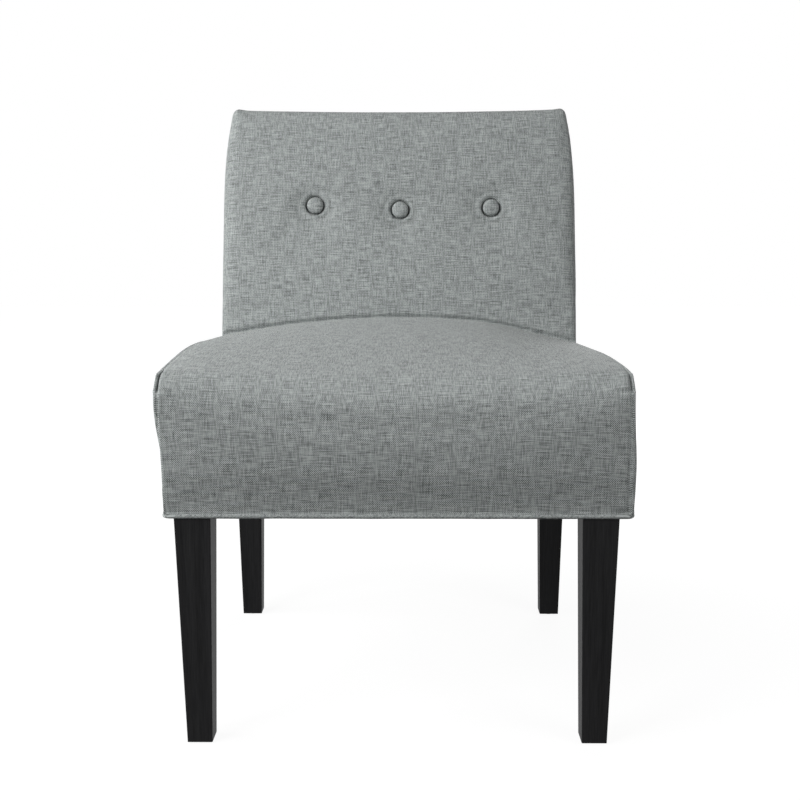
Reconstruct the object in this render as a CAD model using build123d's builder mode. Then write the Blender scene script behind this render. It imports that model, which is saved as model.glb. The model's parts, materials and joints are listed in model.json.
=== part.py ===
"""Armless accent chair: crowned seat, leaning buttoned back, four tapered legs.

Millimetres, +Z up, the front faces -Y, origin on the floor under the middle of the chair.
Left and right are as seen from in front of the chair.
"""

import os
from math import cos, radians, sin, sqrt, tan

from build123d import *

os.makedirs("parts", exist_ok=True)

# Overall sizes
seat_width = 560.0
chair_depth = 635.3
seat_underside = 290.0
back_length = 529.5
back_thickness = 76.0
back_lean = 12.8

# Cloth and the room left between layers
cloth = 1.5
ease = 0.3
glue_gap = 0.1

# Seat form: side edge height, crown, waterfall roll and drawn-in faces
seat_edge_height = 169.0
seat_crown = 30.0
roll_axis_edge = 142.0
roll_axis_centre = 117.0
roll_radius_edge = 30.0
roll_radius_centre = 45.0
roll_slope_edge = 3.0
roll_slope_centre = 10.0
front_draw = 4.0
side_draw = 2.5
side_bulge_height = 140.0
seam_radius = 6.0

# Back form: crown, rolled top and drawn-in upper corners
crown_angle_edge = 0.5
crown_angle_centre = 3.2
top_dip = 6.0
top_front_roll = 20.0
top_rear_roll = 12.0
top_corner_draw = 14.5
top_draw_length = 127.0
back_side_draw = 1.0
back_edge_radius = 9.0
outside_back_margin = 15.0

# Tufts, buttons and what holds them
tuft_names = ("left", "centre", "right")
tuft_pitch = 140.0
tuft_height = 359.0
tuft_depth = 8.0
tuft_radius = 34.0
tuft_rim_radius = 20.0
button_diameter = 26.0
button_height = 7.0
button_rim = 2.5
shank_diameter = 6.0
shank_length = 6.0
twine_diameter = 2.0
knot_diameter = 6.0
washer_diameter = 16.0
washer_thickness = 2.0

# Welt along the lower edge and dust cover under the frame
welt_diameter = 6.0
welt_corner_radius = 8.0
dust_cloth = 0.8

# Frame timber
frame_stock = 18.0
rail_height = 90.0
post_depth = 45.0
post_taper = 6.0
post_taper_length = 60.0
top_padding = 11.0
lower_rail_start = 115.0
lower_rail_height = 60.0
back_panel_thickness = 4.0
corner_block_reach = 70.0
corner_block_height = 50.0

# Dowels and screws
dowel_diameter = 8.0
dowel_length = 30.0
dowel_bite = 10.0
rail_dowel_heights = (18.0, 72.0)
lower_rail_dowels = (18.0, 42.0)
top_rail_dowels = (12.0, 33.0)
block_screw_diameter = 4.0
block_screw_head = 8.0
block_screw_head_height = 3.0
block_screw_grip = 15.0
block_screw_bite = 12.0
block_screw_offset = 40.0
block_screw_height = 35.0
panel_screw_diameter = 3.0
panel_screw_head = 7.0
panel_screw_head_height = 2.0
panel_screw_length = 16.0
panel_screw_pitch = 110.0
panel_screw_rows = 4

# Legs and their fastenings
front_leg_top = 44.0
front_leg_foot = 31.0
rear_leg_top = 42.0
rear_leg_foot = 30.0
leg_edge_radius = 1.5
leg_side_setback = 37.0
front_leg_setback = 29.0
rear_leg_setback = 32.0
bolt_diameter = 8.0
bolt_in_leg = 35.0
bolt_in_block = 35.0
bolt_corner_offset = 9.0
insert_diameter = 11.0
insert_length = 20.0
glide_diameter = 20.0
glide_thickness = 2.0
glide_nail_diameter = 2.5
glide_nail_length = 12.0

# Webbing and deck
strap_width = 50.0
strap_thickness = 1.6
strap_count = 4
lengthwise_pitch = 110.0
crosswise_pitch = 95.0
strap_bearing = 16.0
strap_flat_margin = 3.0
deck_cloth = 1.0

# Derived frame of the back: u runs up the lean, v runs forward from the outside back
lean = radians(back_lean)
half_width = seat_width / 2
front_y = -chair_depth / 2
rear_top_y = chair_depth / 2
roll_overhang = top_rear_roll * (sin(lean) + cos(lean) - 1)
back_foot_y = rear_top_y - back_length * sin(lean) + roll_overhang
across = (1, 0, 0)
up_lean = (0, sin(lean), cos(lean))
down_lean = (0, -sin(lean), -cos(lean))
out_front = (0, -cos(lean), sin(lean))
out_rear = (0, cos(lean), -sin(lean))
sides = {"left": -1, "right": 1}
stations = (-1.0, -0.5, 0.0, 0.5, 1.0)
trim_room = 4.0
quarter_turn = 90.0
half_turn = 180.0

# Derived heights and depths
seat_rear_v = back_thickness - trim_room
cover_hem_z = seat_underside + welt_diameter + ease
rail_top_z = seat_underside + rail_height
strap_lift = (strap_thickness + ease) / 2
deck_z = rail_top_z + strap_thickness + strap_lift + ease
foam_floor_z = deck_z + deck_cloth
leg_top_z = seat_underside - dust_cloth
frame_half = half_width - side_draw - welt_diameter - ease
frame_inner = frame_half - frame_stock
frame_front = front_y + front_draw + welt_diameter + ease
front_rail_inner = frame_front + frame_stock
post_rear_v = cloth + ease
post_front_v = post_rear_v + post_depth
rear_rail_front_v = post_rear_v + frame_stock
panel_front_v = post_front_v + back_panel_thickness
back_frame_top = back_length - top_dip - top_padding


def back_section(x):
    """Plane of a side section of the back, with u and v as its two directions."""
    return Plane(origin=(x, back_foot_y, seat_underside), x_dir=up_lean, z_dir=across)


def back_point(x, u, v):
    """Point of the back in chair coordinates."""
    y = back_foot_y + u * sin(lean) - v * cos(lean)
    return (x, y, seat_underside + u * cos(lean) + v * sin(lean))


def back_face(v):
    """Plane parallel to the outside back at depth v, with x and u as its two directions."""
    return Plane(origin=back_point(0, 0, v), x_dir=across, z_dir=out_front)


def back_depth(point):
    """Depth v of a point, forward from the outside back."""
    return (back_foot_y - point.Y) * cos(lean) + (point.Z - seat_underside) * sin(lean)


def back_rise(point):
    """Height u of a point, up the lean from the frame's underside."""
    return (point.Y - back_foot_y) * sin(lean) + (point.Z - seat_underside) * cos(lean)


def on_rim(point):
    """True on the front, rear and top edges of a side of the back."""
    inside = top_rear_roll < back_depth(point) < back_thickness - top_front_roll
    return not inside or back_rise(point) > back_length - top_front_roll


def near_tuft(point):
    """True on the rim of a tuft's dish."""
    reach = min(abs(point.X - x) for x in tuft_xs)
    return reach < tuft_radius and abs(back_rise(point) - tuft_height) < tuft_radius


def lean_y(z, v):
    """Front-to-back place of the plane at depth v, at height z."""
    return back_foot_y + (z - seat_underside) * tan(lean) - v / cos(lean)


def crown_share(x):
    """Share of the full crown at a distance x from the centre line."""
    return 1 - (x / half_width) ** 2


def between(edge, centre, share):
    """Value between the one at the side edge and the one on the centre line."""
    return edge + (centre - edge) * share


def keep(piece, name):
    """Name a finished piece and write it to its own file."""
    piece.label = name
    export_step(piece, f"parts/{name}.step")


def pegs(planes, diameter, start, end):
    """Round pegs along the normals of the planes, or the holes that take them."""
    with BuildPart() as group:
        for plane in planes:
            with BuildSketch(plane.offset(start)):
                Circle(diameter / 2)
        extrude(amount=end - start)
    return group.part


def crown_angle(x):
    """Angle at which the back's front arc leaves the rolled top."""
    return between(crown_angle_edge, crown_angle_centre, crown_share(x))


# Tuft axes on the back: places across the width and the dish that is drawn in at each
tuft_ranks = range(len(tuft_names))
tuft_xs = [tuft_pitch * (rank - tuft_ranks[-1] / 2) for rank in tuft_ranks]
tuft_sphere = (tuft_radius**2 + tuft_depth**2) / (2 * tuft_depth)
crown_half = (back_length - top_front_roll + back_thickness) / 2
crown_middle = crown_half - back_thickness


def tuft_floor(x):
    """Depth v of the bottom of a tuft's dish."""
    sagitta = crown_half * tan(radians(crown_angle(x) / 2))
    rise = sagitta * (1 - ((tuft_height - crown_middle) / crown_half) ** 2)
    return back_thickness + rise - tuft_depth


def seat_form(inset, floor_z, rear_v):
    """Seat body: waterfall sections lofted across the width, trimmed to bulged sides with soft seams."""
    foot_z = seat_underside - trim_room
    front = front_y + inset
    with BuildPart() as form:
        for station in stations:
            x = station * (half_width + trim_room)
            share = crown_share(x)
            axis_z = seat_underside + between(roll_axis_edge, roll_axis_centre, share)
            radius = between(roll_radius_edge, roll_radius_centre, share) - inset
            slope = between(roll_slope_edge, roll_slope_centre, share)
            rear_z = seat_underside + seat_edge_height + seat_crown * share - inset
            rear_top = (lean_y(rear_z, rear_v), rear_z)
            rear_foot = (lean_y(foot_z, rear_v), foot_z)
            front_foot = (front + front_draw, foot_z)
            with BuildSketch(Plane.YZ.offset(x)):
                with BuildLine():
                    roll = CenterArc((front + radius, axis_z), radius, half_turn, slope - quarter_turn)
                    TangentArc(roll @ 1, rear_top, tangent=roll % 1)
                    Polyline(rear_top, rear_foot, front_foot)
                    TangentArc(roll @ 0, front_foot, tangent=(0, -1))
                make_face()
        loft()
        low = half_width - side_draw - inset
        wide = half_width - inset
        bulge_z = seat_underside + side_bulge_height
        arc_top_z = 2 * bulge_z - foot_z
        with BuildSketch(Plane.XZ):
            with BuildLine():
                right = ThreePointArc((low, foot_z), (wide, bulge_z), (low, arc_top_z))
                left = ThreePointArc((-low, foot_z), (-wide, bulge_z), (-low, arc_top_z))
                Line(right @ 1, left @ 1)
                Line(right @ 0, left @ 0)
            make_face()
        extrude(amount=chair_depth, both=True, mode=Mode.INTERSECT)
        split(bisect_by=Plane.XY.offset(floor_z), keep=Keep.TOP)
        side_faces = form.faces().sort_by(Axis.X)
        seams = ShapeList(side_faces[0].edges() + side_faces[-1].edges())
        seams = seams.filter_by(lambda edge: edge.center().Z > floor_z + ease)
        seams = seams.filter_by(lambda edge: back_depth(edge.center()) > rear_v + ease)
        fillet(seams, seam_radius - inset)
    return form.part


def back_form(inset):
    """Back body: side sections with a rolled top lofted across the width, then dished at the tufts."""
    foot = -back_thickness
    front = back_thickness - inset
    rear_radius = top_rear_roll - inset
    front_radius = top_front_roll - inset
    with BuildPart() as form:
        for station in stations:
            x = station * (half_width + trim_room)
            top = back_length - top_dip * crown_share(x) - inset
            with BuildSketch(back_section(x)):
                with BuildLine():
                    rear_centre = (top - rear_radius, inset + rear_radius)
                    front_centre = (top - front_radius, front - front_radius)
                    front_sweep = quarter_turn - crown_angle(x)
                    rear_roll = CenterArc(rear_centre, rear_radius, -quarter_turn, quarter_turn)
                    front_roll = CenterArc(front_centre, front_radius, 0, front_sweep)
                    Line(rear_roll @ 1, front_roll @ 0)
                    TangentArc(front_roll @ 1, (foot, front), tangent=front_roll % 1)
                    Polyline((foot, front), (foot, inset), rear_roll @ 0)
                make_face()
        loft()
        with BuildSketch(back_face(0)):
            with BuildLine():
                for side in sides.values():
                    foot_point = (side * (half_width - back_side_draw - inset), foot)
                    draw_point = (side * (half_width - back_side_draw - inset), back_length - top_draw_length)
                    top_point = (side * (half_width - top_corner_draw - inset), back_length + trim_room)
                    Line(foot_point, draw_point)
                    TangentArc(draw_point, top_point, tangent=(0, 1))
                Line((-top_point[0], top_point[1]), top_point)
                Line((-foot_point[0], foot_point[1]), foot_point)
            make_face()
        extrude(amount=chair_depth, both=True, mode=Mode.INTERSECT)
        side_faces = form.faces().filter_by(lambda face: abs(face.normal_at().X) > cos(lean))
        seams = ShapeList([edge for face in side_faces for edge in face.edges()])
        fillet(seams.filter_by(lambda edge: on_rim(edge.center())), back_edge_radius - inset)
        dish_centres = [back_point(x, tuft_height, tuft_floor(x) + tuft_sphere) for x in tuft_xs]
        with Locations(*dish_centres):
            Sphere(tuft_sphere + inset, mode=Mode.SUBTRACT)
        rims = form.edges().filter_by(lambda edge: near_tuft(edge.center()))
        fillet(rims, tuft_rim_radius + inset)
    return form.part


# Dowel axes, each plane on a joint's face with its normal into the cross piece
rail_middle = frame_half - frame_stock / 2
rail_dowel_zs = [seat_underside + height for height in rail_dowel_heights]
front_joint = {
    name: [Plane(origin=(side * rail_middle, front_rail_inner, z), z_dir=(0, -1, 0)) for z in rail_dowel_zs]
    for name, side in sides.items()
}
post_joint_points = [(lean_y(z, post_front_v), z) for z in rail_dowel_zs]
post_joint = {
    name: [Plane(origin=(side * rail_middle, y, z), z_dir=(0, 1, 0)) for y, z in post_joint_points]
    for name, side in sides.items()
}
rear_rail_middle_v = post_rear_v + frame_stock / 2
lower_rail_middle_v = post_front_v - frame_stock / 2
top_rail_middle = back_frame_top - frame_stock / 2
cross_points = {
    "rear_seat_rail": [(lean_y(z, rear_rail_middle_v), z) for z in rail_dowel_zs],
    "back_lower_rail": [
        back_point(0, lower_rail_start + height, lower_rail_middle_v)[1:] for height in lower_rail_dowels
    ],
    "back_top_rail": [back_point(0, top_rail_middle, post_rear_v + depth)[1:] for depth in top_rail_dowels],
}
cross_joint = {
    (rail, name): [Plane(origin=(side * frame_inner, y, z), z_dir=(side, 0, 0)) for y, z in points]
    for rail, points in cross_points.items()
    for name, side in sides.items()
}
dowel_tail = dowel_bite - dowel_length
dowel_hole = dowel_diameter + 2 * glue_gap


def dowel_holes(planes):
    """Holes that take the dowels of some joints, with a glue gap all round."""
    return pegs(planes, dowel_hole, dowel_tail - glue_gap, dowel_bite + glue_gap)


def side_planes(joints):
    """Joint planes of both sides in one list."""
    return [plane for planes in joints for plane in planes]


# Corner block screws, each plane on the head's top with its normal into the rail
block_head_depth = block_screw_grip + block_screw_head_height
block_screw_z = seat_underside + block_screw_height
rear_rail_foot_y = lean_y(seat_underside, rear_rail_front_v)
block_screws = {}
for name, side in sides.items():
    offset_x = side * (frame_inner - block_screw_offset)
    rear_face_y = lean_y(block_screw_z, rear_rail_front_v)
    head_x = side * (frame_inner - block_head_depth)
    block_screws["front", name] = [
        Plane(origin=(offset_x, front_rail_inner + block_head_depth, block_screw_z), z_dir=(0, -1, 0)),
        Plane(origin=(head_x, front_rail_inner + block_screw_offset, block_screw_z), z_dir=(side, 0, 0)),
    ]
    block_screws["rear", name] = [
        Plane(origin=(offset_x, rear_face_y - block_head_depth, block_screw_z), z_dir=(0, 1, 0)),
        Plane(origin=(head_x, rear_rail_foot_y - block_screw_offset, block_screw_z), z_dir=(side, 0, 0)),
    ]
block_screw_end = block_head_depth + block_screw_bite
block_hole = block_screw_diameter + 2 * glue_gap
block_counterbore = block_screw_head + 2 * ease

# Leg axes and the bolt axes that stand clear of the rails
leg_x = half_width - leg_side_setback
leg_ys = {"front": front_y + front_leg_setback, "rear": back_foot_y - rear_leg_setback}
leg_sizes = {"front": (front_leg_top, front_leg_foot), "rear": (rear_leg_top, rear_leg_foot)}
bolt_x = frame_inner - bolt_corner_offset
bolt_ys = {"front": front_rail_inner + bolt_corner_offset, "rear": rear_rail_foot_y - bolt_corner_offset}
corners = [(row, name) for row in leg_ys for name in sides]
bolt_planes = {
    (row, name): Plane(origin=(sides[name] * bolt_x, bolt_ys[row], seat_underside)) for row, name in corners
}
bolt_hole = bolt_diameter + 2 * glue_gap

# Front seat rail: full width, bored for the side rail dowels and the corner block screws
front_rail_holes = dowel_holes(side_planes(front_joint.values()))
front_rail_screws = pegs(
    [block_screws["front", name][0] for name in sides], block_hole, 0, block_screw_end + glue_gap
)
with BuildPart() as front_seat_rail:
    with BuildSketch(Plane.XY.offset(seat_underside)):
        with Locations((0, frame_front + frame_stock / 2)):
            Rectangle(2 * frame_half, frame_stock)
    extrude(amount=rail_height)
    outer_edges = front_seat_rail.edges().filter_by(Axis.Z).group_by(Axis.Y)[0]
    fillet(outer_edges, welt_corner_radius - welt_diameter / 2 - ease)
    add(front_rail_holes, mode=Mode.SUBTRACT)
    add(front_rail_screws, mode=Mode.SUBTRACT)
keep(front_seat_rail.part, "front_seat_rail")

# Side seat rails: butted to the front rail and cut to the lean of the back posts
for name, side in sides.items():
    rail_holes = dowel_holes(front_joint[name] + post_joint[name])
    screw_holes = pegs(
        [block_screws[row, name][1] for row in leg_ys], block_hole, 0, block_screw_end + glue_gap
    )
    with BuildPart() as seat_rail:
        with BuildSketch(Plane.YZ.offset(side * rail_middle)):
            Polygon(
                (front_rail_inner, seat_underside),
                (lean_y(seat_underside, post_front_v), seat_underside),
                (lean_y(rail_top_z, post_front_v), rail_top_z),
                (front_rail_inner, rail_top_z),
                align=None,
            )
        extrude(amount=frame_stock / 2, both=True)
        add(rail_holes, mode=Mode.SUBTRACT)
        add(screw_holes, mode=Mode.SUBTRACT)
    keep(seat_rail.part, f"{name}_seat_rail")

# Rear seat rail: leans with the posts and stands between them
rear_rail_holes = dowel_holes(side_planes(cross_joint["rear_seat_rail", name] for name in sides))
rear_rail_screws = pegs(
    [block_screws["rear", name][0] for name in sides], block_hole, 0, block_screw_end + glue_gap
)
with BuildPart() as rear_seat_rail:
    with BuildSketch(Plane.YZ):
        Polygon(
            (lean_y(seat_underside, rear_rail_front_v), seat_underside),
            (lean_y(seat_underside, post_rear_v), seat_underside),
            (lean_y(rail_top_z, post_rear_v), rail_top_z),
            (lean_y(rail_top_z, rear_rail_front_v), rail_top_z),
            align=None,
        )
    extrude(amount=frame_inner, both=True)
    add(rear_rail_holes, mode=Mode.SUBTRACT)
    add(rear_rail_screws, mode=Mode.SUBTRACT)
keep(rear_seat_rail.part, "rear_seat_rail")

# Back panel screws: two upright rows into the posts, each plane on the panel's front face
panel_screw_us = [
    lower_rail_start + lower_rail_height / 2 + panel_screw_pitch * row for row in range(panel_screw_rows)
]
panel_screws = {
    name: [
        Plane(origin=back_point(side * rail_middle, u, panel_front_v), x_dir=across, z_dir=out_rear)
        for u in panel_screw_us
    ]
    for name, side in sides.items()
}
panel_hole = panel_screw_diameter + 2 * glue_gap

# Back posts: tapered in at the top, cut level at the frame's underside
post_taper_start = back_frame_top - post_taper_length
for name, side in sides.items():
    cross_planes = side_planes(cross_joint[rail, name] for rail in cross_points)
    post_holes = dowel_holes(post_joint[name] + cross_planes)
    screw_holes = pegs(panel_screws[name], panel_hole, 0, panel_screw_length + glue_gap)
    with BuildPart() as back_post:
        with BuildSketch(back_face(post_rear_v)):
            Polygon(
                (side * frame_inner, -back_thickness),
                (side * frame_half, -back_thickness),
                (side * frame_half, post_taper_start),
                (side * (frame_half - post_taper), back_frame_top),
                (side * frame_inner, back_frame_top),
                align=None,
            )
        extrude(amount=post_depth)
        split(bisect_by=Plane.XY.offset(seat_underside), keep=Keep.TOP)
        add(post_holes, mode=Mode.SUBTRACT)
        add(screw_holes, mode=Mode.SUBTRACT)
    keep(back_post.part, f"{name}_back_post")

# Back rails between the posts: a flat one along the top and an upright one behind the seat
top_rail_holes = dowel_holes(side_planes(cross_joint["back_top_rail", name] for name in sides))
with BuildPart() as back_top_rail:
    with BuildSketch(back_face(post_rear_v)):
        with Locations((0, back_frame_top - frame_stock / 2)):
            Rectangle(2 * frame_inner, frame_stock)
    extrude(amount=post_depth)
    add(top_rail_holes, mode=Mode.SUBTRACT)
keep(back_top_rail.part, "back_top_rail")

lower_rail_holes = dowel_holes(side_planes(cross_joint["back_lower_rail", name] for name in sides))
with BuildPart() as back_lower_rail:
    with BuildSketch(back_face(post_front_v - frame_stock)):
        with Locations((0, lower_rail_start + lower_rail_height / 2)):
            Rectangle(2 * frame_inner, lower_rail_height)
    extrude(amount=frame_stock)
    add(lower_rail_holes, mode=Mode.SUBTRACT)
keep(back_lower_rail.part, "back_lower_rail")

# Back panel: thin plywood on the front of the posts, bored for the tuft twines
twine_hole = twine_diameter + 2 * ease
twine_points = [(x, tuft_height) for x in tuft_xs]
panel_screw_planes = side_planes(panel_screws.values())
panel_screw_holes = pegs(panel_screw_planes, panel_hole, 0, panel_screw_length)
panel_head_holes = pegs(panel_screw_planes, panel_screw_head + 2 * glue_gap, 0, panel_screw_head_height)
with BuildPart() as back_panel:
    with BuildSketch(back_face(post_front_v)):
        Polygon(
            (-frame_half, lower_rail_start),
            (frame_half, lower_rail_start),
            (frame_half, post_taper_start),
            (frame_half - post_taper, back_frame_top),
            (post_taper - frame_half, back_frame_top),
            (-frame_half, post_taper_start),
            align=None,
        )
        with Locations(*twine_points):
            Circle(twine_hole / 2, mode=Mode.SUBTRACT)
    extrude(amount=back_panel_thickness)
    add(panel_screw_holes, mode=Mode.SUBTRACT)
    add(panel_head_holes, mode=Mode.SUBTRACT)
keep(back_panel.part, "back_panel")

# Dowels of every frame joint
dowel_planes = side_planes([*front_joint.values(), *post_joint.values(), *cross_joint.values()])
keep(pegs(dowel_planes, dowel_diameter, dowel_tail, dowel_bite), "frame_dowels")


def screws(planes, diameter, head, head_height, length):
    """Flat-headed screws that start at the planes and run along their normals."""
    with BuildPart() as group:
        for plane in planes:
            with BuildSketch(plane):
                Circle(head / 2)
        extrude(amount=head_height)
        for plane in planes:
            with BuildSketch(plane.offset(head_height)):
                Circle(diameter / 2)
        extrude(amount=length - head_height)
    return group.part


back_panel_screws = screws(
    panel_screw_planes, panel_screw_diameter, panel_screw_head, panel_screw_head_height, panel_screw_length
)
keep(back_panel_screws, "back_panel_screws")
corner_block_screws = screws(
    side_planes(block_screws.values()),
    block_screw_diameter,
    block_screw_head,
    block_screw_head_height,
    block_screw_end,
)
keep(corner_block_screws, "corner_block_screws")

# Corner blocks: three-cornered, glued and screwed to the rails, bored for the leg bolts
for row, name in corners:
    side = sides[name]
    block_planes = block_screws[row, name]
    shank_holes = pegs(block_planes, block_hole, 0, block_screw_end)
    head_holes = pegs(block_planes, block_counterbore, -corner_block_reach, block_screw_head_height)
    insert_hole = pegs([bolt_planes[row, name]], insert_diameter + 2 * glue_gap, 0, insert_length)
    bolt_bore = pegs([bolt_planes[row, name]], bolt_hole, 0, corner_block_height)
    toward = {"front": 1, "rear": -1}[row]
    foot_y = {"front": front_rail_inner, "rear": rear_rail_foot_y}[row]
    heel_y = {"front": front_rail_inner, "rear": rear_rail_foot_y + corner_block_height * tan(lean)}[row]
    with BuildPart() as corner_block:
        with BuildSketch(Plane.XY.offset(seat_underside)):
            Polygon(
                (side * frame_inner, heel_y),
                (side * (frame_inner - corner_block_reach), heel_y),
                (side * (frame_inner - corner_block_reach), foot_y),
                (side * frame_inner, foot_y + toward * corner_block_reach),
                align=None,
            )
        extrude(amount=corner_block_height)
        if row == "rear":
            split(bisect_by=back_face(rear_rail_front_v), keep=Keep.TOP)
        for cutter in (shank_holes, head_holes, insert_hole, bolt_bore):
            add(cutter, mode=Mode.SUBTRACT)
    keep(corner_block.part, f"{row}_{name}_corner_block")

# Leg fastenings: inserts in the blocks, hanger bolts and nail-on glides
with BuildPart() as leg_inserts:
    for plane in bolt_planes.values():
        with BuildSketch(plane):
            Circle(insert_diameter / 2)
            Circle(bolt_hole / 2, mode=Mode.SUBTRACT)
    extrude(amount=insert_length)
keep(leg_inserts.part, "leg_inserts")

bolt_foot = -dust_cloth - bolt_in_leg
keep(pegs(bolt_planes.values(), bolt_diameter, bolt_foot, bolt_in_block), "leg_hanger_bolts")

glide_planes = [Plane(origin=(sides[name] * leg_x, leg_ys[row], 0)) for row, name in corners]
with BuildPart() as leg_glides:
    for plane in glide_planes:
        with BuildSketch(plane):
            Circle(glide_diameter / 2)
    extrude(amount=glide_thickness)
    for plane in glide_planes:
        with BuildSketch(plane.offset(glide_thickness)):
            Circle(glide_nail_diameter / 2)
    extrude(amount=glide_nail_length)
keep(leg_glides.part, "leg_glides")

# Legs: square, tapered on all four sides, with eased edges
for (row, name), glide_plane in zip(corners, glide_planes):
    top_size, foot_size = leg_sizes[row]
    bolt_bore = pegs([bolt_planes[row, name]], bolt_hole, bolt_foot - glue_gap, 0)
    nail_hole = pegs(
        [glide_plane], glide_nail_diameter + 2 * glue_gap, 0, glide_thickness + glide_nail_length + glue_gap
    )
    with BuildPart() as leg:
        with BuildSketch(glide_plane.offset(glide_thickness)):
            Rectangle(foot_size, foot_size)
        with BuildSketch(glide_plane.offset(leg_top_z)):
            Rectangle(top_size, top_size)
        loft(ruled=True)
        long_edges = leg.edges().filter_by(lambda edge: abs((edge % 0.5).Z) > cos(lean))
        fillet(long_edges, leg_edge_radius)
        add(bolt_bore, mode=Mode.SUBTRACT)
        add(nail_hole, mode=Mode.SUBTRACT)
    keep(leg.part, f"{row}_{name}_leg")

# Webbing: elastic straps that pass over and under each other between the rails
strap_ranks = [index - (strap_count - 1) / 2 for index in range(strap_count)]
web_middle_y = (front_rail_inner + lean_y(rail_top_z, post_front_v)) / 2
lengthwise_xs = [rank * lengthwise_pitch for rank in strap_ranks]
crosswise_ys = [web_middle_y + rank * crosswise_pitch for rank in strap_ranks]
web_front_y = front_rail_inner - strap_bearing
web_rear_y = lean_y(rail_top_z, rear_rail_front_v) + strap_bearing
web_half_x = frame_inner + strap_bearing


def strap_outline(start, end, crossings, first_sign):
    """Points of a strap's long section, flat on the rails and waved at the crossings."""
    flat = strap_width / 2 + strap_flat_margin
    line = [(start, 0), (start + strap_bearing, 0)]
    for rank, place in enumerate(crossings):
        height = strap_lift * first_sign * (-1) ** rank
        line += [(place - flat, height), (place + flat, height)]
    line += [(end - strap_bearing, 0), (end, 0)]
    lower = [(along, rail_top_z + height) for along, height in line]
    upper = [(along, height + strap_thickness) for along, height in reversed(lower)]
    return lower + upper


with BuildPart() as lengthwise_webbing:
    for index, x in enumerate(lengthwise_xs):
        points = strap_outline(web_front_y, web_rear_y, crosswise_ys, (-1) ** index)
        with BuildSketch(Plane.YZ.offset(x)):
            Polygon(*points, align=None)
        extrude(amount=strap_width / 2, both=True)
keep(lengthwise_webbing.part, "lengthwise_webbing")

with BuildPart() as crosswise_webbing:
    for index, y in enumerate(crosswise_ys):
        points = strap_outline(-web_half_x, web_half_x, lengthwise_xs, -((-1) ** index))
        with BuildSketch(Plane.XZ.offset(-y)):
            Polygon(*points, align=None)
        extrude(amount=strap_width / 2, both=True)
keep(crosswise_webbing.part, "crosswise_webbing")

# Deck cloth over the webbing
with BuildPart() as seat_deck_cloth:
    with BuildSketch(Plane.YZ):
        Polygon(
            (frame_front, deck_z),
            (lean_y(deck_z, post_front_v + ease), deck_z),
            (lean_y(foam_floor_z, post_front_v + ease), foam_floor_z),
            (frame_front, foam_floor_z),
            align=None,
        )
    extrude(amount=frame_half, both=True)
keep(seat_deck_cloth.part, "seat_deck_cloth")

# Seat foam, and the padding that wraps the outside of the rails below it
back_room = back_form(-ease)
foam_block = seat_form(cloth + ease, foam_floor_z, seat_rear_v)
with BuildPart() as seat_foam:
    add(foam_block)
    add(back_room, mode=Mode.SUBTRACT)
keep(seat_foam.part, "seat_foam")

padded_rails = seat_form(cloth + ease, cover_hem_z, seat_rear_v)
with BuildPart() as rail_padding:
    add(padded_rails)
    split(bisect_by=Plane.XY.offset(foam_floor_z), keep=Keep.BOTTOM)
    with BuildSketch(Plane.XY):
        with Locations((0, frame_front + chair_depth / 2)):
            Rectangle(2 * frame_half, chair_depth)
    extrude(amount=foam_floor_z, mode=Mode.SUBTRACT)
    add(back_room, mode=Mode.SUBTRACT)
keep(rail_padding.part, "rail_padding")

# Seat cover in three panels: top and front in one, and a sewn-on panel on each side
seat_outside = seat_form(0, cover_hem_z, seat_rear_v)
seat_inside = seat_form(cloth, cover_hem_z - trim_room / 2, seat_rear_v - trim_room)
seam_x = half_width - seam_radius
with BuildPart() as seat_cloth:
    add(seat_outside)
    add(seat_inside, mode=Mode.SUBTRACT)
    add(back_room, mode=Mode.SUBTRACT)
with BuildPart() as seat_cover:
    add(seat_cloth.part)
    split(bisect_by=Plane.YZ.offset(seam_x), keep=Keep.BOTTOM)
    split(bisect_by=Plane.YZ.offset(-seam_x), keep=Keep.TOP)
keep(seat_cover.part, "seat_cover")

outer_part = {"left": Keep.BOTTOM, "right": Keep.TOP}
for name, side in sides.items():
    with BuildPart() as side_panel:
        add(seat_cloth.part)
        split(bisect_by=Plane.YZ.offset(side * (seam_x + ease)), keep=outer_part[name])
    keep(side_panel.part, f"{name}_seat_side_panel")

# Welt: piping under the hem, along both sides and across the front
welt_x = half_width - side_draw - welt_diameter / 2
welt_y = front_y + front_draw + welt_diameter / 2
welt_z = seat_underside + welt_diameter / 2
welt_end_y = back_foot_y - welt_diameter
with BuildPart() as seat_welt:
    with BuildLine(Plane.XY.offset(welt_z)) as welt_path:
        FilletPolyline(
            (-welt_x, welt_end_y),
            (-welt_x, welt_y),
            (welt_x, welt_y),
            (welt_x, welt_end_y),
            radius=welt_corner_radius,
        )
    with BuildSketch(Plane(origin=welt_path.line @ 0, z_dir=welt_path.line % 0)):
        Circle(welt_diameter / 2)
    sweep(path=welt_path.line)
keep(seat_welt.part, "seat_welt")

# Dust cover under the frame, pierced for the leg bolts
dust_rear_y = lean_y(seat_underside, post_rear_v)
with BuildPart() as dust_cover:
    with BuildSketch(Plane.XY.offset(leg_top_z)):
        with Locations((0, (frame_front + dust_rear_y) / 2)):
            Rectangle(2 * frame_half, dust_rear_y - frame_front)
        with Locations(*[(plane.origin.X, plane.origin.Y) for plane in bolt_planes.values()]):
            Circle(bolt_diameter / 2 + ease, mode=Mode.SUBTRACT)
    extrude(amount=dust_cloth)
keep(dust_cover.part, "dust_cover")

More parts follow.
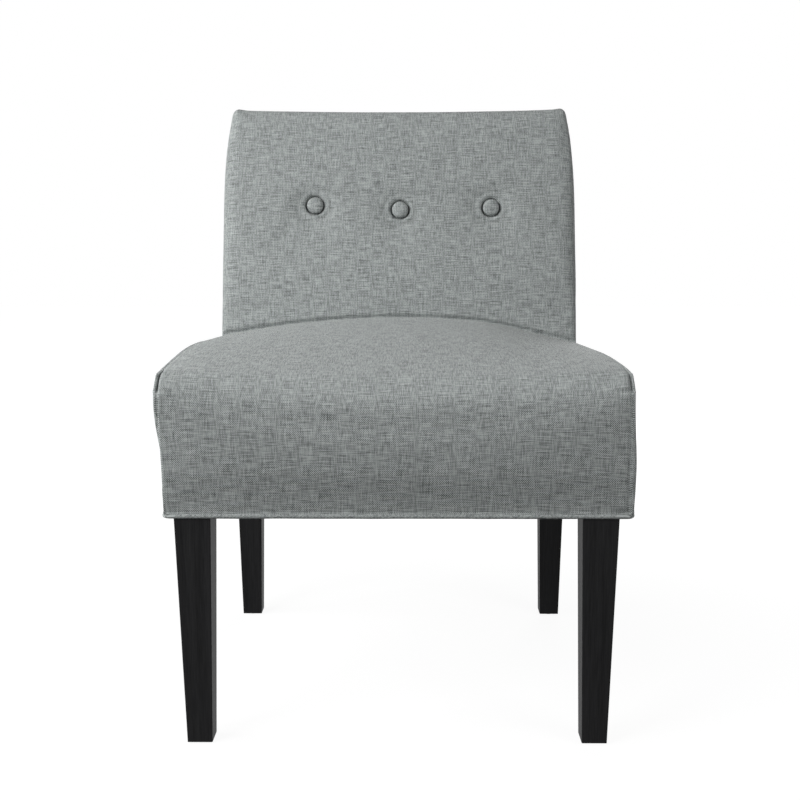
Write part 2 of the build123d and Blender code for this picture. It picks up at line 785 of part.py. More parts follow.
# Back foam: wraps the front, sides and top of the frame, open below for the seat to pass under
shank_planes = [
    Plane(origin=back_point(x, tuft_height, panel_front_v), x_dir=across, z_dir=out_front) for x in tuft_xs
]
shank_holes = pegs(shank_planes, shank_diameter + 2 * ease, 0, back_thickness)
foam_body = back_form(cloth + ease)
with BuildPart() as back_foam:
    add(foam_body)
    split(bisect_by=Plane.XY.offset(cover_hem_z), keep=Keep.TOP)
    with BuildSketch(back_face(-trim_room)):
        Polygon(
            (-frame_half, -back_thickness),
            (frame_half, -back_thickness),
            (frame_half, post_taper_start),
            (frame_half - post_taper, back_frame_top),
            (post_taper - frame_half, back_frame_top),
            (-frame_half, post_taper_start),
            align=None,
        )
    extrude(amount=panel_front_v + trim_room, mode=Mode.SUBTRACT)
    with BuildSketch(back_face(-trim_room)):
        with Locations((0, lower_rail_start - back_length / 2)):
            Rectangle(2 * frame_half, back_length)
    extrude(amount=2 * back_thickness, mode=Mode.SUBTRACT)
    add(shank_holes, mode=Mode.SUBTRACT)
keep(back_foam.part, "back_foam")

# Inside back cover: front, top and sides in one, hemmed on the rear and open below for the seat
back_outside = back_form(0)
back_inside = back_form(cloth)
hem_half = half_width - outside_back_margin
hem_top = back_length - top_dip - outside_back_margin
with BuildPart() as inside_back_cover:
    add(back_outside)
    add(back_inside, mode=Mode.SUBTRACT)
    split(bisect_by=Plane.XY.offset(cover_hem_z), keep=Keep.TOP)
    with BuildSketch(back_face(-trim_room)):
        with Locations((0, hem_top - back_length / 2)):
            Rectangle(2 * hem_half, back_length)
    extrude(amount=trim_room + cloth + ease, mode=Mode.SUBTRACT)
    with BuildSketch(back_face(cloth + ease)):
        with Locations((0, lower_rail_start - back_length / 2)):
            Rectangle(2 * (half_width - back_edge_radius - back_side_draw), back_length)
    extrude(amount=2 * back_thickness, mode=Mode.SUBTRACT)
    add(shank_holes, mode=Mode.SUBTRACT)
keep(inside_back_cover.part, "inside_back_cover")

# Outside back cover: one flat panel set into the hem
with BuildPart() as outside_back_cover:
    with BuildSketch(back_face(0)):
        with Locations((0, hem_top - ease - back_length / 2)):
            Rectangle(2 * (hem_half - ease), back_length)
    extrude(amount=cloth)
    split(bisect_by=Plane.XY.offset(seat_underside), keep=Keep.TOP)
keep(outside_back_cover.part, "outside_back_cover")

# Tuft buttons: domed, with a shank that goes through the cover
button_radius = button_diameter / 2
dish_rise = tuft_sphere - sqrt(tuft_sphere**2 - button_radius**2) + ease
button_places = [back_point(x, tuft_height, tuft_floor(x) + dish_rise) for x in tuft_xs]
for name, place in zip(tuft_names, button_places):
    with BuildPart() as tuft_button:
        with BuildSketch(Plane(origin=place, x_dir=across, z_dir=down_lean)):
            with BuildLine():
                Polyline(
                    (0, button_height),
                    (0, -shank_length),
                    (shank_diameter / 2, -shank_length),
                    (shank_diameter / 2, 0),
                    (button_radius, 0),
                    (button_radius, button_rim),
                )
                TangentArc((0, button_height), (button_radius, button_rim), tangent=(1, 0))
            make_face()
        revolve(axis=Axis(place, out_front))
    keep(tuft_button.part, f"{name}_tuft_button")

# Twines from the shanks to knots behind the panel, and the washers that the knots bear on
knot_v = post_front_v - washer_thickness - knot_diameter / 2 - ease
with BuildPart() as tuft_twines:
    for x in tuft_xs:
        shank_end_v = tuft_floor(x) + dish_rise - shank_length
        with BuildSketch(Plane(origin=back_point(x, tuft_height, knot_v), x_dir=across, z_dir=out_front)):
            Circle(twine_diameter / 2)
        extrude(amount=shank_end_v - knot_v)
    with Locations(*[back_point(x, tuft_height, knot_v) for x in tuft_xs]):
        Sphere(knot_diameter / 2)
keep(tuft_twines.part, "tuft_twines")

with BuildPart() as tuft_washers:
    with BuildSketch(back_face(post_front_v - washer_thickness)):
        with Locations(*twine_points):
            Circle(washer_diameter / 2)
            Circle(twine_hole / 2, mode=Mode.SUBTRACT)
    extrude(amount=washer_thickness)
keep(tuft_washers.part, "tuft_washers")
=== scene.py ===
# %% [markdown]
# # An armless buttoned accent chair
# The chair is a hardwood frame that an upholsterer has padded and covered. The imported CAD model
# is the frame of this scene: its legs and timber are shown as they are, and everything soft is
# made again here as cloth over padding.

# %% Load the frame
import json
from math import cos, pi, radians, sin

import bpy
import numpy as np
from mathutils import Matrix, Vector, noise


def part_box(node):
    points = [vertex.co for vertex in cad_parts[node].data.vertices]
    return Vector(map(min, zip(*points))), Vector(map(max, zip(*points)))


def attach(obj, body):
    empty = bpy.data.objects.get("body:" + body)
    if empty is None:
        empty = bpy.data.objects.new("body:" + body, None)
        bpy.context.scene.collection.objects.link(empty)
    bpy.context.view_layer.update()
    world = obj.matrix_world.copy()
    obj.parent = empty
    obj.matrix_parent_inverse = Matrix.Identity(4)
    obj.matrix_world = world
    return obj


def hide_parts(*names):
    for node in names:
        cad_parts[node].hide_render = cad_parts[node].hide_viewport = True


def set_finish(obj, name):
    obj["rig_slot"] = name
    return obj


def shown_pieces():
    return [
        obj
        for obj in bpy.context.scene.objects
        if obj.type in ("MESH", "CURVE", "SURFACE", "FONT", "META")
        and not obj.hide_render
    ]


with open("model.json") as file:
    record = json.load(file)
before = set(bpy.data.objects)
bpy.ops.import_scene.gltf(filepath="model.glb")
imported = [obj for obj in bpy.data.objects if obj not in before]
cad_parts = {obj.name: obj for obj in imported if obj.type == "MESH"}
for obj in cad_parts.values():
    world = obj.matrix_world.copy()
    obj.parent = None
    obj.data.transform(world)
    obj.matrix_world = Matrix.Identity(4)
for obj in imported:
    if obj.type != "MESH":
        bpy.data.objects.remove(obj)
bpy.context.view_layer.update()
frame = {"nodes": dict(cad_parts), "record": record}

scene = bpy.context.scene
nodes = frame["nodes"]

# %% [markdown]
# ## The camera
# The photograph was taken from a little above the seat, almost straight on. The place and the
# lens were worked out from the feet of the four legs and the corners of the seat, so they are
# written down here as plain values.

# %% Camera
bpy.ops.object.select_all(action="DESELECT")
bpy.ops.object.camera_add(location=(0.0185, -1.59255, 0.6337))
camera = bpy.context.object
camera.rotation_euler = (radians(81.0), radians(0.1), radians(0.6))
camera.data.sensor_width = 36.0
camera.data.lens = 50.08
scene.camera = camera
print("camera", tuple(round(value, 4) for value in camera.location))

# %% [markdown]
# ## Values shared with the CAD model
# The back leans, so it has its own directions: u runs up the lean and v runs forward out of the
# back. Knowing them lets us place tufts and seams where the upholsterer did.

# %% The back's own directions
lean = radians(12.8)
underside = 0.290  # of the seat frame
half_width = 0.280  # of the seat and of the back
front_y = -0.31765  # the seat's front
back_foot = Vector((0.0, 0.2027, underside))  # lower rear edge of the back
up_lean = Vector((0.0, sin(lean), cos(lean)))
out_front = Vector((0.0, -cos(lean), sin(lean)))
seam_x = 0.2740  # where the seat's side panels are sewn on
hem_z = 0.2963  # lower edge of the padding
foam_floor = 0.38385  # underside of the seat's foam
frame_half = 0.2712  # half the width of the timber frame
frame_front = front_y + 0.0103
frame_gap = 0.003  # padding that lies closer to the frame than this faces it
back_face = 0.0795  # v where the seat's cover meets the back
foam_rear = 0.0560  # v of the back foam's rear face
foam_top = 0.5160  # u where the back's cover turns over the top
tuft_u = 0.359  # u of the row of buttons
tuft_xs = (-0.140, 0.0, 0.140)
tuft_floors = (0.07287, 0.07417, 0.07287)  # v under each button
tuft_drifts = ((0.0044, 0.0060), (0.0, -0.0015), (0.0047, 0.0019))  # of each button, in x and u


def on_back(x, u, v):
    """Point of the chair at x, u up the lean and v forward from the outside back."""
    return back_foot + Vector((x, 0.0, 0.0)) + up_lean * u + out_front * v


print("tuft row at", [round(value, 4) for value in on_back(0.0, tuft_u, tuft_floors[1])])

# %% [markdown]
# ## Small helpers for meshes
# Blender's operators act on what is selected, so each step starts by selecting one piece only.
# Vertex places are read and written as arrays, which lets a fold or a seam be pressed into the
# cloth by a formula, as a sculptor's brush would.

# %% Mesh helpers
def only(piece):
    """Select one piece and nothing else."""
    bpy.ops.object.select_all(action="DESELECT")
    piece.select_set(True)
    bpy.context.view_layer.objects.active = piece
    return piece


def places(piece):
    """Vertex places of a piece as an array."""
    flat = np.zeros(len(piece.data.vertices) * 3, np.float32)
    piece.data.vertices.foreach_get("co", flat)
    return flat.reshape(-1, 3).astype(float)


def outward(piece):
    """Vertex normals of a piece as an array."""
    flat = np.zeros(len(piece.data.vertices) * 3, np.float32)
    piece.data.vertex_normals.foreach_get("vector", flat)
    return flat.reshape(-1, 3).astype(float)


def move_to(piece, points):
    """Write vertex places back to a piece."""
    piece.data.vertices.foreach_set("co", points.astype(np.float32).ravel())
    piece.data.update()


def ramp(value, low, high):
    """Smooth step from 0 at low to 1 at high."""
    share = np.clip((value - low) / (high - low), 0.0, 1.0)
    return share * share * (3.0 - 2.0 * share)


def in_back(points):
    """Coordinates u and v of the back for an array of places."""
    rest = points - np.array(back_foot)
    return rest @ np.array(up_lean), rest @ np.array(out_front)


def finish_piece(piece, slot, *stands_for):
    """Let a finished piece ride with the chair and stand for its CAD solids."""
    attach(piece, "root")
    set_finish(piece, slot)
    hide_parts(*stands_for)
    print(piece.name, len(piece.data.vertices), "vertices")


# %% [markdown]
# ## Padding, plumped by the cloth solver
# A padded seat is foam that pushes a tight cover outwards, so the cover swells between the lines
# where it is held. A copy of the foam solid is remeshed into an even net, and the cloth solver
# blows it up a little. The remesh rounds the corners off, so the finer net is then laid back on
# the foam, a cloth's thickness above it, and the swelling is added to that. It is limited to a few
# millimetres, because this chair is tightly upholstered, and fades out where the cover is held.
# Where the remesh leaves small steps on a slanting face, that part of the net is smoothed.

# %% Plumping
COVER = 0.0018
SOLVER_STEPS = 20
SOLVER_QUALITY = 5
CLOTH_MASS = 0.3
PRESSURE = 4.0
HELD_SHARE = 0.05


def form_from(name, *solids):
    """One new object with merged copies of some CAD solids."""
    bpy.ops.object.select_all(action="DESELECT")
    for solid in solids:
        copy = bpy.data.objects.new(name, nodes[solid].data.copy())
        scene.collection.objects.link(copy)
        copy.select_set(True)
        bpy.context.view_layer.objects.active = copy
    bpy.ops.object.join()
    form = bpy.context.object
    form.name = name
    form.data.materials.clear()
    bpy.ops.object.mode_set(mode="EDIT")
    bpy.ops.mesh.select_all(action="SELECT")
    bpy.ops.mesh.remove_doubles(threshold=0.00001)
    bpy.ops.object.mode_set(mode="OBJECT")
    bpy.ops.object.shade_smooth_by_angle(angle=radians(40.0))
    return form


def twin(piece, name):
    """A copy of a piece with its own mesh."""
    copy = bpy.data.objects.new(name, piece.data.copy())
    scene.collection.objects.link(copy)
    return copy


def even_net(form, name, mesh_size):
    """A copy of a form as an even net of small quads."""
    pad = only(twin(form, name))
    pad.data.remesh_voxel_size = mesh_size
    bpy.ops.object.voxel_remesh()
    return pad


def mark(piece, name, where):
    """Gather the vertices where a mask is true in a vertex group, and return its name."""
    group = piece.vertex_groups.new(name=name)
    group.add([int(index) for index in np.nonzero(where)[0]], 1.0, "REPLACE")
    return name


def swelling(pad, held, limit):
    """How far the cloth solver swells each vertex of a pad, up to a limit, with some held."""
    rest = places(pad)
    balloon = only(twin(pad, "balloon"))
    cloth = balloon.modifiers.new("plump", "CLOTH")
    cloth.settings.quality = SOLVER_QUALITY
    cloth.settings.mass = CLOTH_MASS
    cloth.settings.use_pressure = True
    cloth.settings.uniform_pressure_force = PRESSURE
    cloth.settings.vertex_group_mass = mark(balloon, "held", held)
    cloth.settings.effector_weights.gravity = 0.0
    cloth.point_cache.frame_start = 1
    cloth.point_cache.frame_end = SOLVER_STEPS
    for step in range(1, SOLVER_STEPS + 1):
        scene.frame_set(step)
    bpy.ops.object.modifier_apply(modifier="plump")
    swell = places(balloon) - rest
    length = np.maximum(np.linalg.norm(swell, axis=1), 1e-9)
    bpy.data.objects.remove(balloon)
    most = round(float(length.max()) * 1000, 1)
    print(pad.name, "would swell", most, "mm, limited to", limit * 1000, "mm")
    return swell * (limit * np.tanh(length / limit) / length)[:, None]


def finer(piece):
    """Divide a net once, with Blender's smoothing rule."""
    only(piece)
    level = piece.modifiers.new("finer", "SUBSURF")
    level.levels = 1
    level.render_levels = 1
    bpy.ops.object.modifier_apply(modifier="finer")


def calm(pad, where, rounds, strength=0.5):
    """Smooth a part of a pad."""
    only(pad)
    level = pad.modifiers.new("calm", "SMOOTH")
    level.factor = strength
    level.iterations = rounds
    level.vertex_group = mark(pad, "calm", where)
    bpy.ops.object.modifier_apply(modifier="calm")
    pad.vertex_groups.clear()


def cover_over(pad, form, swell, on_cover):
    """Divide a pad, lay it over its form at the cover's thickness and add the swelling."""
    ghost = twin(pad, "ghost")
    move_to(ghost, swell)
    finer(ghost)
    fine_swell = places(ghost)
    bpy.data.objects.remove(ghost)
    finer(pad)
    covered = on_cover(pad)
    lay = pad.modifiers.new("lay", "SHRINKWRAP")
    lay.target = form
    lay.wrap_method = "NEAREST_SURFACEPOINT"
    lay.wrap_mode = "ABOVE_SURFACE"
    lay.offset = COVER
    lay.vertex_group = mark(pad, "cover", covered)
    bpy.ops.object.modifier_apply(modifier="lay")
    bpy.data.objects.remove(form)
    calm(pad, covered, rounds=2, strength=0.35)
    move_to(pad, places(pad) + fine_swell)
    bpy.ops.object.shade_smooth()


def thin_inside(pad, on_cover, share):
    """Thin the net to a share of its triangles, taken from where no one sees it."""
    only(pad)
    thin = pad.modifiers.new("thin", "DECIMATE")
    thin.ratio = share
    thin.vertex_group = mark(pad, "inside", ~on_cover(pad))
    bpy.ops.object.modifier_apply(modifier="thin")
    pad.vertex_groups.clear()


def press(pad, start, end, depth, width):
    """Press a crease into a pad along a straight line, fading towards its far end."""
    points = places(pad)
    start = np.array(start)
    along = np.array(end) - start
    share = np.clip((points - start) @ along / (along @ along), 0.0, 1.0)
    gap = np.linalg.norm(points - start - share[:, None] * along, axis=1)
    fade = 1.0 - ramp(share, 0.25, 1.0)
    push = depth * fade * np.exp(-((gap / width) ** 2))
    move_to(pad, points - outward(pad) * push[:, None])


def weave_map(pad, chart):
    """Lay the cloth's weave on a pad: chart gives thread places from face centres and normals."""
    layer = pad.data.uv_layers.new(name="weave")
    points = places(pad)
    corner_vertex = np.zeros(len(pad.data.loops), np.int32)
    pad.data.loops.foreach_get("vertex_index", corner_vertex)
    counts = np.zeros(len(pad.data.polygons), np.int32)
    pad.data.polygons.foreach_get("loop_total", counts)
    centres = np.zeros(len(counts) * 3, np.float32)
    pad.data.polygons.foreach_get("center", centres)
    normals = np.zeros(len(counts) * 3, np.float32)
    pad.data.polygons.foreach_get("normal", normals)
    owner = np.repeat(np.arange(len(counts)), counts)
    centres = centres.reshape(-1, 3)[owner]
    normals = normals.reshape(-1, 3)[owner]
    threads = chart(points[corner_vertex], centres, normals)
    layer.data.foreach_set("uv", threads.astype(np.float32).ravel())


# %% [markdown]
# ## The seat
# The real seat is one block of foam, pulled tight at the front under a cover in three panels: one
# over the top and down the front, and one sewn on at each side. The pad starts from the foam and
# the wadding round the rails, is plumped, and then gets its seams and the pull lines at the front
# corners, where the cover is tucked round the edge.

# %% Seat pad
SEAT_NET = 0.0044
SEAT_SWELL = 0.0028
SIDE_ROUNDS = 60


def seat_cover_part(pad):
    """True where the seat's cover is, and not inside the frame, under the hem or at the back."""
    points = places(pad)
    facing = outward(pad)
    inside = np.abs(points[:, 0]) < frame_half + frame_gap
    inside &= (points[:, 1] > frame_front - frame_gap) & (points[:, 2] < foam_floor + 0.004)
    inside &= (facing[:, 0] * np.sign(points[:, 0]) < 0.5) & (facing[:, 1] > -0.5)
    return ~inside & (points[:, 2] > hem_z + 0.002) & (in_back(points)[1] > back_face)


def seat_side_part(pad):
    """True on the outer faces of the two side panels."""
    points = places(pad)
    facing = outward(pad)
    side = (np.abs(points[:, 0]) > frame_half + frame_gap) & (points[:, 2] > hem_z + 0.003)
    side &= facing[:, 0] * np.sign(points[:, 0]) > 0.2
    return side & (facing[:, 2] < 0.6) & (facing[:, 1] > -0.6)


def seat_swell_share(pad):
    """Share of the swelling: none at the hem, at the back and on the side panels."""
    points = places(pad)
    above_hem = ramp(points[:, 2], hem_z + 0.004, hem_z + 0.050)
    clear_of_back = ramp(in_back(points)[1], 0.084, 0.120)
    off_sides = 1.0 - ramp(np.abs(points[:, 0]), seam_x - 0.018, seam_x - 0.002)
    return above_hem * clear_of_back * off_sides * seat_cover_part(pad)


seat_form = form_from("seat_form", "seat_foam", "rail_padding")
seat = even_net(seat_form, "padded_seat", SEAT_NET)
seat_share = seat_swell_share(seat)
seat_swell = swelling(seat, seat_share < HELD_SHARE, SEAT_SWELL) * seat_share[:, None]
cover_over(seat, seat_form, seat_swell, seat_cover_part)
calm(seat, seat_side_part(seat), SIDE_ROUNDS)

# %% [markdown]
# No upholstered seat is quite the same on both sides. In the photograph the upper edge of this one
# stands out a little further on the left, the right side is fuller below, and the right edge has
# settled towards the back. The net is nudged by a few millimetres there. Along the back the cover
# is tucked down into the crevice, and at the front its lower edge is drawn in and down to the welt.

# %% Settled edges
WELT_RADIUS = 0.0028
WELT_LINE = underside + 0.0008
HEM_DROP = hem_z - WELT_LINE - WELT_RADIUS + 0.0015
LEFT_LIFT, LEFT_SETTLE, LEFT_BULGE = 0.0045, 0.0010, 0.0050
RIGHT_SETTLE, RIGHT_BULGE = 0.0120, 0.0045
CREVICE_TUCK = 0.0060
FRONT_DRAW = 0.0030


def hem_drop(height):
    """How far a cover is drawn down to the welt at a height."""
    return HEM_DROP * (1.0 - ramp(height, hem_z, hem_z + 0.045))


points = places(seat)
x, y, z = points.T
v = in_back(points)[1]
clear_of_back = ramp(v, 0.070, 0.079)
left_edge = ramp(-x, 0.100, 0.272) * clear_of_back
right_edge = ramp(x, 0.100, 0.272) * clear_of_back
upper = ramp(z, 0.400, 0.440)
lifted = LEFT_LIFT * left_edge * np.exp(-(((y + 0.120) / 0.120) ** 2))
settled = RIGHT_SETTLE * right_edge * ramp(y, -0.300, 0.100)
settled += LEFT_SETTLE * left_edge * ramp(y, -0.040, 0.080)
tucked = CREVICE_TUCK * (1.0 - ramp(v, 0.080, 0.106)) * (1.0 - ramp(np.abs(x), 0.255, 0.275))
drawn_in = FRONT_DRAW * (1.0 - ramp(z, hem_z, hem_z + 0.055)) * (y < front_y + 0.004)
x -= LEFT_BULGE * left_edge * ramp(z, 0.350, 0.430)
x += RIGHT_BULGE * right_edge * (1.0 - ramp(z, 0.340, 0.430))
y += drawn_in
z += (lifted - settled - tucked) * upper
z -= hem_drop(z)
move_to(seat, points)

# %% [markdown]
# A seam is a line where two panels are turned in and stitched, so the surface dips there. The net
# is first cut along the seam, which puts vertices exactly on it, and these are pulled in.

# %% Seat seams
SEAM_DEPTH = 0.0016
SEAM_WIDTH = 0.0018
left_seam = -seam_x - LEFT_BULGE
only(seat)
bpy.ops.object.mode_set(mode="EDIT")
for seam in (left_seam, seam_x):
    bpy.ops.mesh.select_all(action="SELECT")
    bpy.ops.mesh.bisect(plane_co=(seam, 0.0, 0.0), plane_no=(1.0, 0.0, 0.0))
bpy.ops.object.mode_set(mode="OBJECT")
points = places(seat)
x, y, z = points.T
seam_gap = np.minimum(np.abs(x - left_seam), np.abs(x - seam_x))
cover_side = (z > hem_z - 0.001) & (in_back(points)[1] > 0.079)
dip = SEAM_DEPTH * np.exp(-((seam_gap / SEAM_WIDTH) ** 2)) * cover_side

# %% [markdown]
# At each front corner the cover is drawn over the edge and tucked, which leaves a short deep slit
# in the seam and a fan of pull lines running in from it. The slit on the left is the longer one.

# %% Corner tucks
LEFT_SLIT, RIGHT_SLIT = 3.5, 2.4
PULLS = (  # rise over the underside, reach and drop of each pull line
    (0.152, 0.026, 0.006), (0.143, 0.044, 0.002), (0.133, 0.058, -0.002), (0.121, 0.040, -0.006),
)
at_front = y < front_y + 0.045
left_slit = (x < 0.0) * ramp(z, 0.436, 0.448) * (1.0 - ramp(z, 0.458, 0.466))
right_slit = (x > 0.0) * ramp(z, 0.440, 0.447) * (1.0 - ramp(z, 0.456, 0.464))
dip *= 1.0 + at_front * (LEFT_SLIT * left_slit + RIGHT_SLIT * right_slit)
move_to(seat, points - outward(seat) * dip[:, None])
for side in (-1.0, 1.0):
    for rise, reach, drop in PULLS:
        start = (side * seam_x, front_y + 0.004, underside + rise)
        end = (side * (seam_x - reach), front_y + 0.001, underside + rise - drop)
        press(seat, start, end, depth=0.0011, width=0.0030)

# %% [markdown]
# Cloth is never quite even. A slow wave of less than a millimetre, from Blender's own noise, keeps
# the large panels from looking machined.

# %% Slow waves in the cover
def unsettle(pad, size, height):
    """Wave a pad's surface in and out by a smooth noise of a given size."""
    points = places(pad)
    wave = np.array([noise.noise(Vector(point) / size) for point in points])
    move_to(pad, points + outward(pad) * (height * wave)[:, None])


unsettle(seat, size=0.110, height=0.0003)
thin_inside(seat, seat_cover_part, share=0.65)


def seat_chart(points, centres, normals):
    """Threads run across and along the top panel, and along and up the side panels."""
    side_panel = (np.abs(centres[:, 0]) > seam_x) & (np.abs(normals[:, 0]) > 0.35)
    across = np.where(side_panel, points[:, 1] + 1.0, points[:, 0])
    along = np.where(side_panel, points[:, 2], points[:, 1] + points[:, 2])
    return np.stack((across, along), axis=1)


weave_map(seat, seat_chart)
finish_piece(seat, "ash_cloth", "seat_cover", "left_seat_side_panel", "right_seat_side_panel",
             "seat_foam", "rail_padding")

# %% [markdown]
# ## The back
# The inside back is a thick pad with three buttons pulled in along one row. Around each button the
# cover swells and is creased towards the twine. The pad is held at the buttons, along its rear edge
# and where it meets the seat, and plumped everywhere else.

# %% Back pad
BACK_NET = 0.0058
BACK_SWELL = 0.0030
RIM_DEPTH = 0.010
RIM_ROUNDS = 3


def back_cover_part(pad):
    """True where the back's cover is: the front, the top and the sides of the pad."""
    points = places(pad)
    u, v = in_back(points)
    return (v > foam_rear) | (np.abs(points[:, 0]) > frame_half + frame_gap) | (u > foam_top)


def back_swell_share(pad):
    """Share of the swelling: none at the buttons, at the rear edge and where the seat meets it."""
    points = places(pad)
    u, v = in_back(points)
    tuft_gap = np.min([np.hypot(points[:, 0] - x, u - tuft_u) for x in tuft_xs], axis=0)
    off_tufts = ramp(tuft_gap, 0.013, 0.034)
    over_seat = ramp(points[:, 2], 0.486, 0.530)
    return off_tufts * over_seat * ramp(v, 0.000, 0.014) * back_cover_part(pad)


back_form = form_from("back_form", "back_foam")
back = even_net(back_form, "padded_back", BACK_NET)
back_share = back_swell_share(back)
back_swell = swelling(back, back_share < HELD_SHARE, BACK_SWELL) * back_share[:, None]
cover_over(back, back_form, back_swell, back_cover_part)
rear_rim = (in_back(places(back))[1] < RIM_DEPTH) & back_cover_part(back)
calm(back, rear_rim, RIM_ROUNDS)

# %% [markdown]
# The left edge of this back stands out a little further than the right one, and its top edge is
# pulled less in the middle than a straight board would be. The three buttons were not set quite in
# line either. Each tuft is carried to where its button sits.

# %% Drifted tufts
LEFT_DRIFT = 0.0042
TOP_RISE = 0.0018
TUFT_REACH = 0.042
points = places(back)
u = in_back(points)[0]
points[:, 0] -= LEFT_DRIFT * ramp(-points[:, 0], 0.150, 0.270)
points[:, 2] -= hem_drop(points[:, 2])
rise = TOP_RISE * ramp(u, 0.480, 0.525) * np.cos(points[:, 0] / half_width * pi / 2)
points += np.outer(rise, up_lean)
tufts = []
for x, floor, (aside, above) in zip(tuft_xs, tuft_floors, tuft_drifts):
    gap = np.hypot(points[:, 0] - x, in_back(points)[0] - tuft_u)
    carry = np.exp(-((gap / TUFT_REACH) ** 2))
    points += np.outer(carry * aside, (1.0, 0.0, 0.0)) + np.outer(carry * above, up_lean)
    tufts.append((x + aside, tuft_u + above, floor))
move_to(back, points)

# %% [markdown]
# Where the seat presses on the back, the back's cover is drawn in with it, and a thin dark line
# follows the seat's crown. The height of the crown is read from the seat's net, column by column,
# and a groove is pressed into the back there.

# %% Crevice over the seat
CREVICE_DEPTH = 0.0050
CREVICE_WIDTH = 0.0032
CREVICE_DROP = 0.0020
COLUMN_REACH = 0.006
seat_points = places(seat)
seat_v = in_back(seat_points)[1]
rear_top = seat_points[(seat_v > 0.082) & (seat_v < 0.125)]
columns = np.linspace(-half_width, half_width, 57)
beside = [np.abs(rear_top[:, 0] - column) < COLUMN_REACH for column in columns]
crown = [rear_top[near, 2].max() for near in beside]
points = places(back)
over_line = points[:, 2] - np.interp(points[:, 0], columns, crown) + CREVICE_DROP
on_front = ramp(outward(back) @ np.array(out_front), 0.5, 0.9)
groove = CREVICE_DEPTH * np.exp(-((over_line / CREVICE_WIDTH) ** 2)) * on_front
move_to(back, points - np.outer(groove, out_front))
print("crown from", round(min(crown), 4), "to", round(max(crown), 4))

# %% [markdown]
# The dark ring round each button is the narrow gap between the button and the cover that is drawn
# in under it. The net is made finer round the buttons, a ring is pressed in, and the cover is
# puffed up a little outside it, with short creases that run out of the ring.

# %% Tufts
TUFT_FIELD = 0.026
PUFF, PUFF_AT, PUFF_WIDTH = 0.0026, 0.0195, 0.0045
RING, RING_AT, RING_WIDTH = 0.0065, 0.0138, 0.0014
CREASE_START = 0.015
CREASES = ((98.0, 0.036), (196.0, 0.034), (236.0, 0.040), (344.0, 0.030))  # turn and reach
only(back)
bpy.ops.object.mode_set(mode="EDIT")
bpy.ops.mesh.select_mode(type="FACE")
bpy.ops.mesh.select_all(action="DESELECT")
bpy.ops.object.mode_set(mode="OBJECT")
for face in back.data.polygons:
    (u,), (v,) = in_back(np.array([face.center]))
    gap = min(np.hypot(face.center.x - x, u - row) for x, row, floor in tufts)
    face.select = bool(v > foam_rear and gap < TUFT_FIELD)
bpy.ops.object.mode_set(mode="EDIT")
bpy.ops.mesh.subdivide(number_cuts=2)
bpy.ops.object.mode_set(mode="OBJECT")
for x, row, floor in tufts:
    points = places(back)
    u, v = in_back(points)
    gap = np.hypot(points[:, 0] - x, u - row)
    puff = PUFF * np.exp(-(((gap - PUFF_AT) / PUFF_WIDTH) ** 2))
    ring = RING * np.exp(-(((gap - RING_AT) / RING_WIDTH) ** 2))
    points += np.outer((puff - ring) * (v > foam_rear), out_front)
    move_to(back, points)
    for turn, reach in CREASES:
        aside, above = cos(radians(turn)), sin(radians(turn))
        start = on_back(x + CREASE_START * aside, row + CREASE_START * above, floor + 0.008)
        end = on_back(x + reach * aside, row + reach * above, floor + 0.010)
        press(back, start, end, depth=0.0009, width=0.0030)
unsettle(back, size=0.100, height=0.0004)
thin_inside(back, back_cover_part, share=0.75)


FRONT_V = 0.080


def back_chart(points, centres, normals):
    """Threads run across and up the front, over the top and down behind, and up the sides."""
    u, v = in_back(points)
    side = np.abs(normals[:, 0]) > 0.75
    behind = normals @ np.array(out_front) < -0.02
    across = np.where(side, v + 2.0, points[:, 0] + 3.0)
    turned = FRONT_V + (v - FRONT_V) * ramp(u, 0.400, 0.480)
    along = np.where(side, u, np.where(behind, -u - v, u - turned))
    return np.stack((across, along), axis=1)


weave_map(back, back_chart)
finish_piece(back, "ash_cloth", "inside_back_cover", "back_foam")

# %% [markdown]
# ## The buttons
# Each button is a metal shell with a disc of the same cloth drawn over it. One is modelled from a
# sphere: the lower half is flattened, the rim is tucked in, and its edge gets the small gathers
# that the cloth makes there. The three on the chair are copies of it.

# %% Buttons
BUTTON_RADIUS = 0.0130
BUTTON_HEIGHT = 0.0052
BUTTON_LIFT = 0.0034
GATHERS = 18
bpy.ops.object.select_all(action="DESELECT")
bpy.ops.mesh.primitive_uv_sphere_add(segments=72, ring_count=36, radius=BUTTON_RADIUS)
button = bpy.context.object
points = places(button)
reach = np.clip(np.hypot(points[:, 0], points[:, 1]) / BUTTON_RADIUS, 0.0, 1.0)
turn = np.arctan2(points[:, 1], points[:, 0])
dome = BUTTON_HEIGHT * np.sqrt(np.maximum(1.0 - reach ** 3.2, 0.0))
points[:, 2] = np.where(points[:, 2] >= 0.0, dome, -0.3 * dome)
points[:, :2] *= (1.0 + 0.012 * np.cos(GATHERS * turn) * ramp(reach, 0.6, 1.0))[:, None]
move_to(button, points)
bpy.ops.object.shade_smooth()
across = Vector((1.0, 0.0, 0.0))
turned = Matrix((across, up_lean, out_front)).transposed().to_4x4()
for name, (x, row, floor) in zip(("left", "centre", "right"), tufts):
    copy = twin(button, f"{name}_covered_button")
    copy.matrix_world = Matrix.Translation(on_back(x, row, floor + BUTTON_LIFT)) @ turned
    only(copy)
    bpy.ops.object.transform_apply()
    weave_map(copy, back_chart)
    finish_piece(copy, "ash_cloth", f"{name}_tuft_button")
bpy.data.objects.remove(button)

# %% [markdown]
# ## The welt
# The welt is a cord wrapped in a strip of the same cloth, tacked along the lower edge of the front
# and the sides. A flat rectangle loses its rear edge, its front corners are rounded, and the path
# that is left gets a round section.

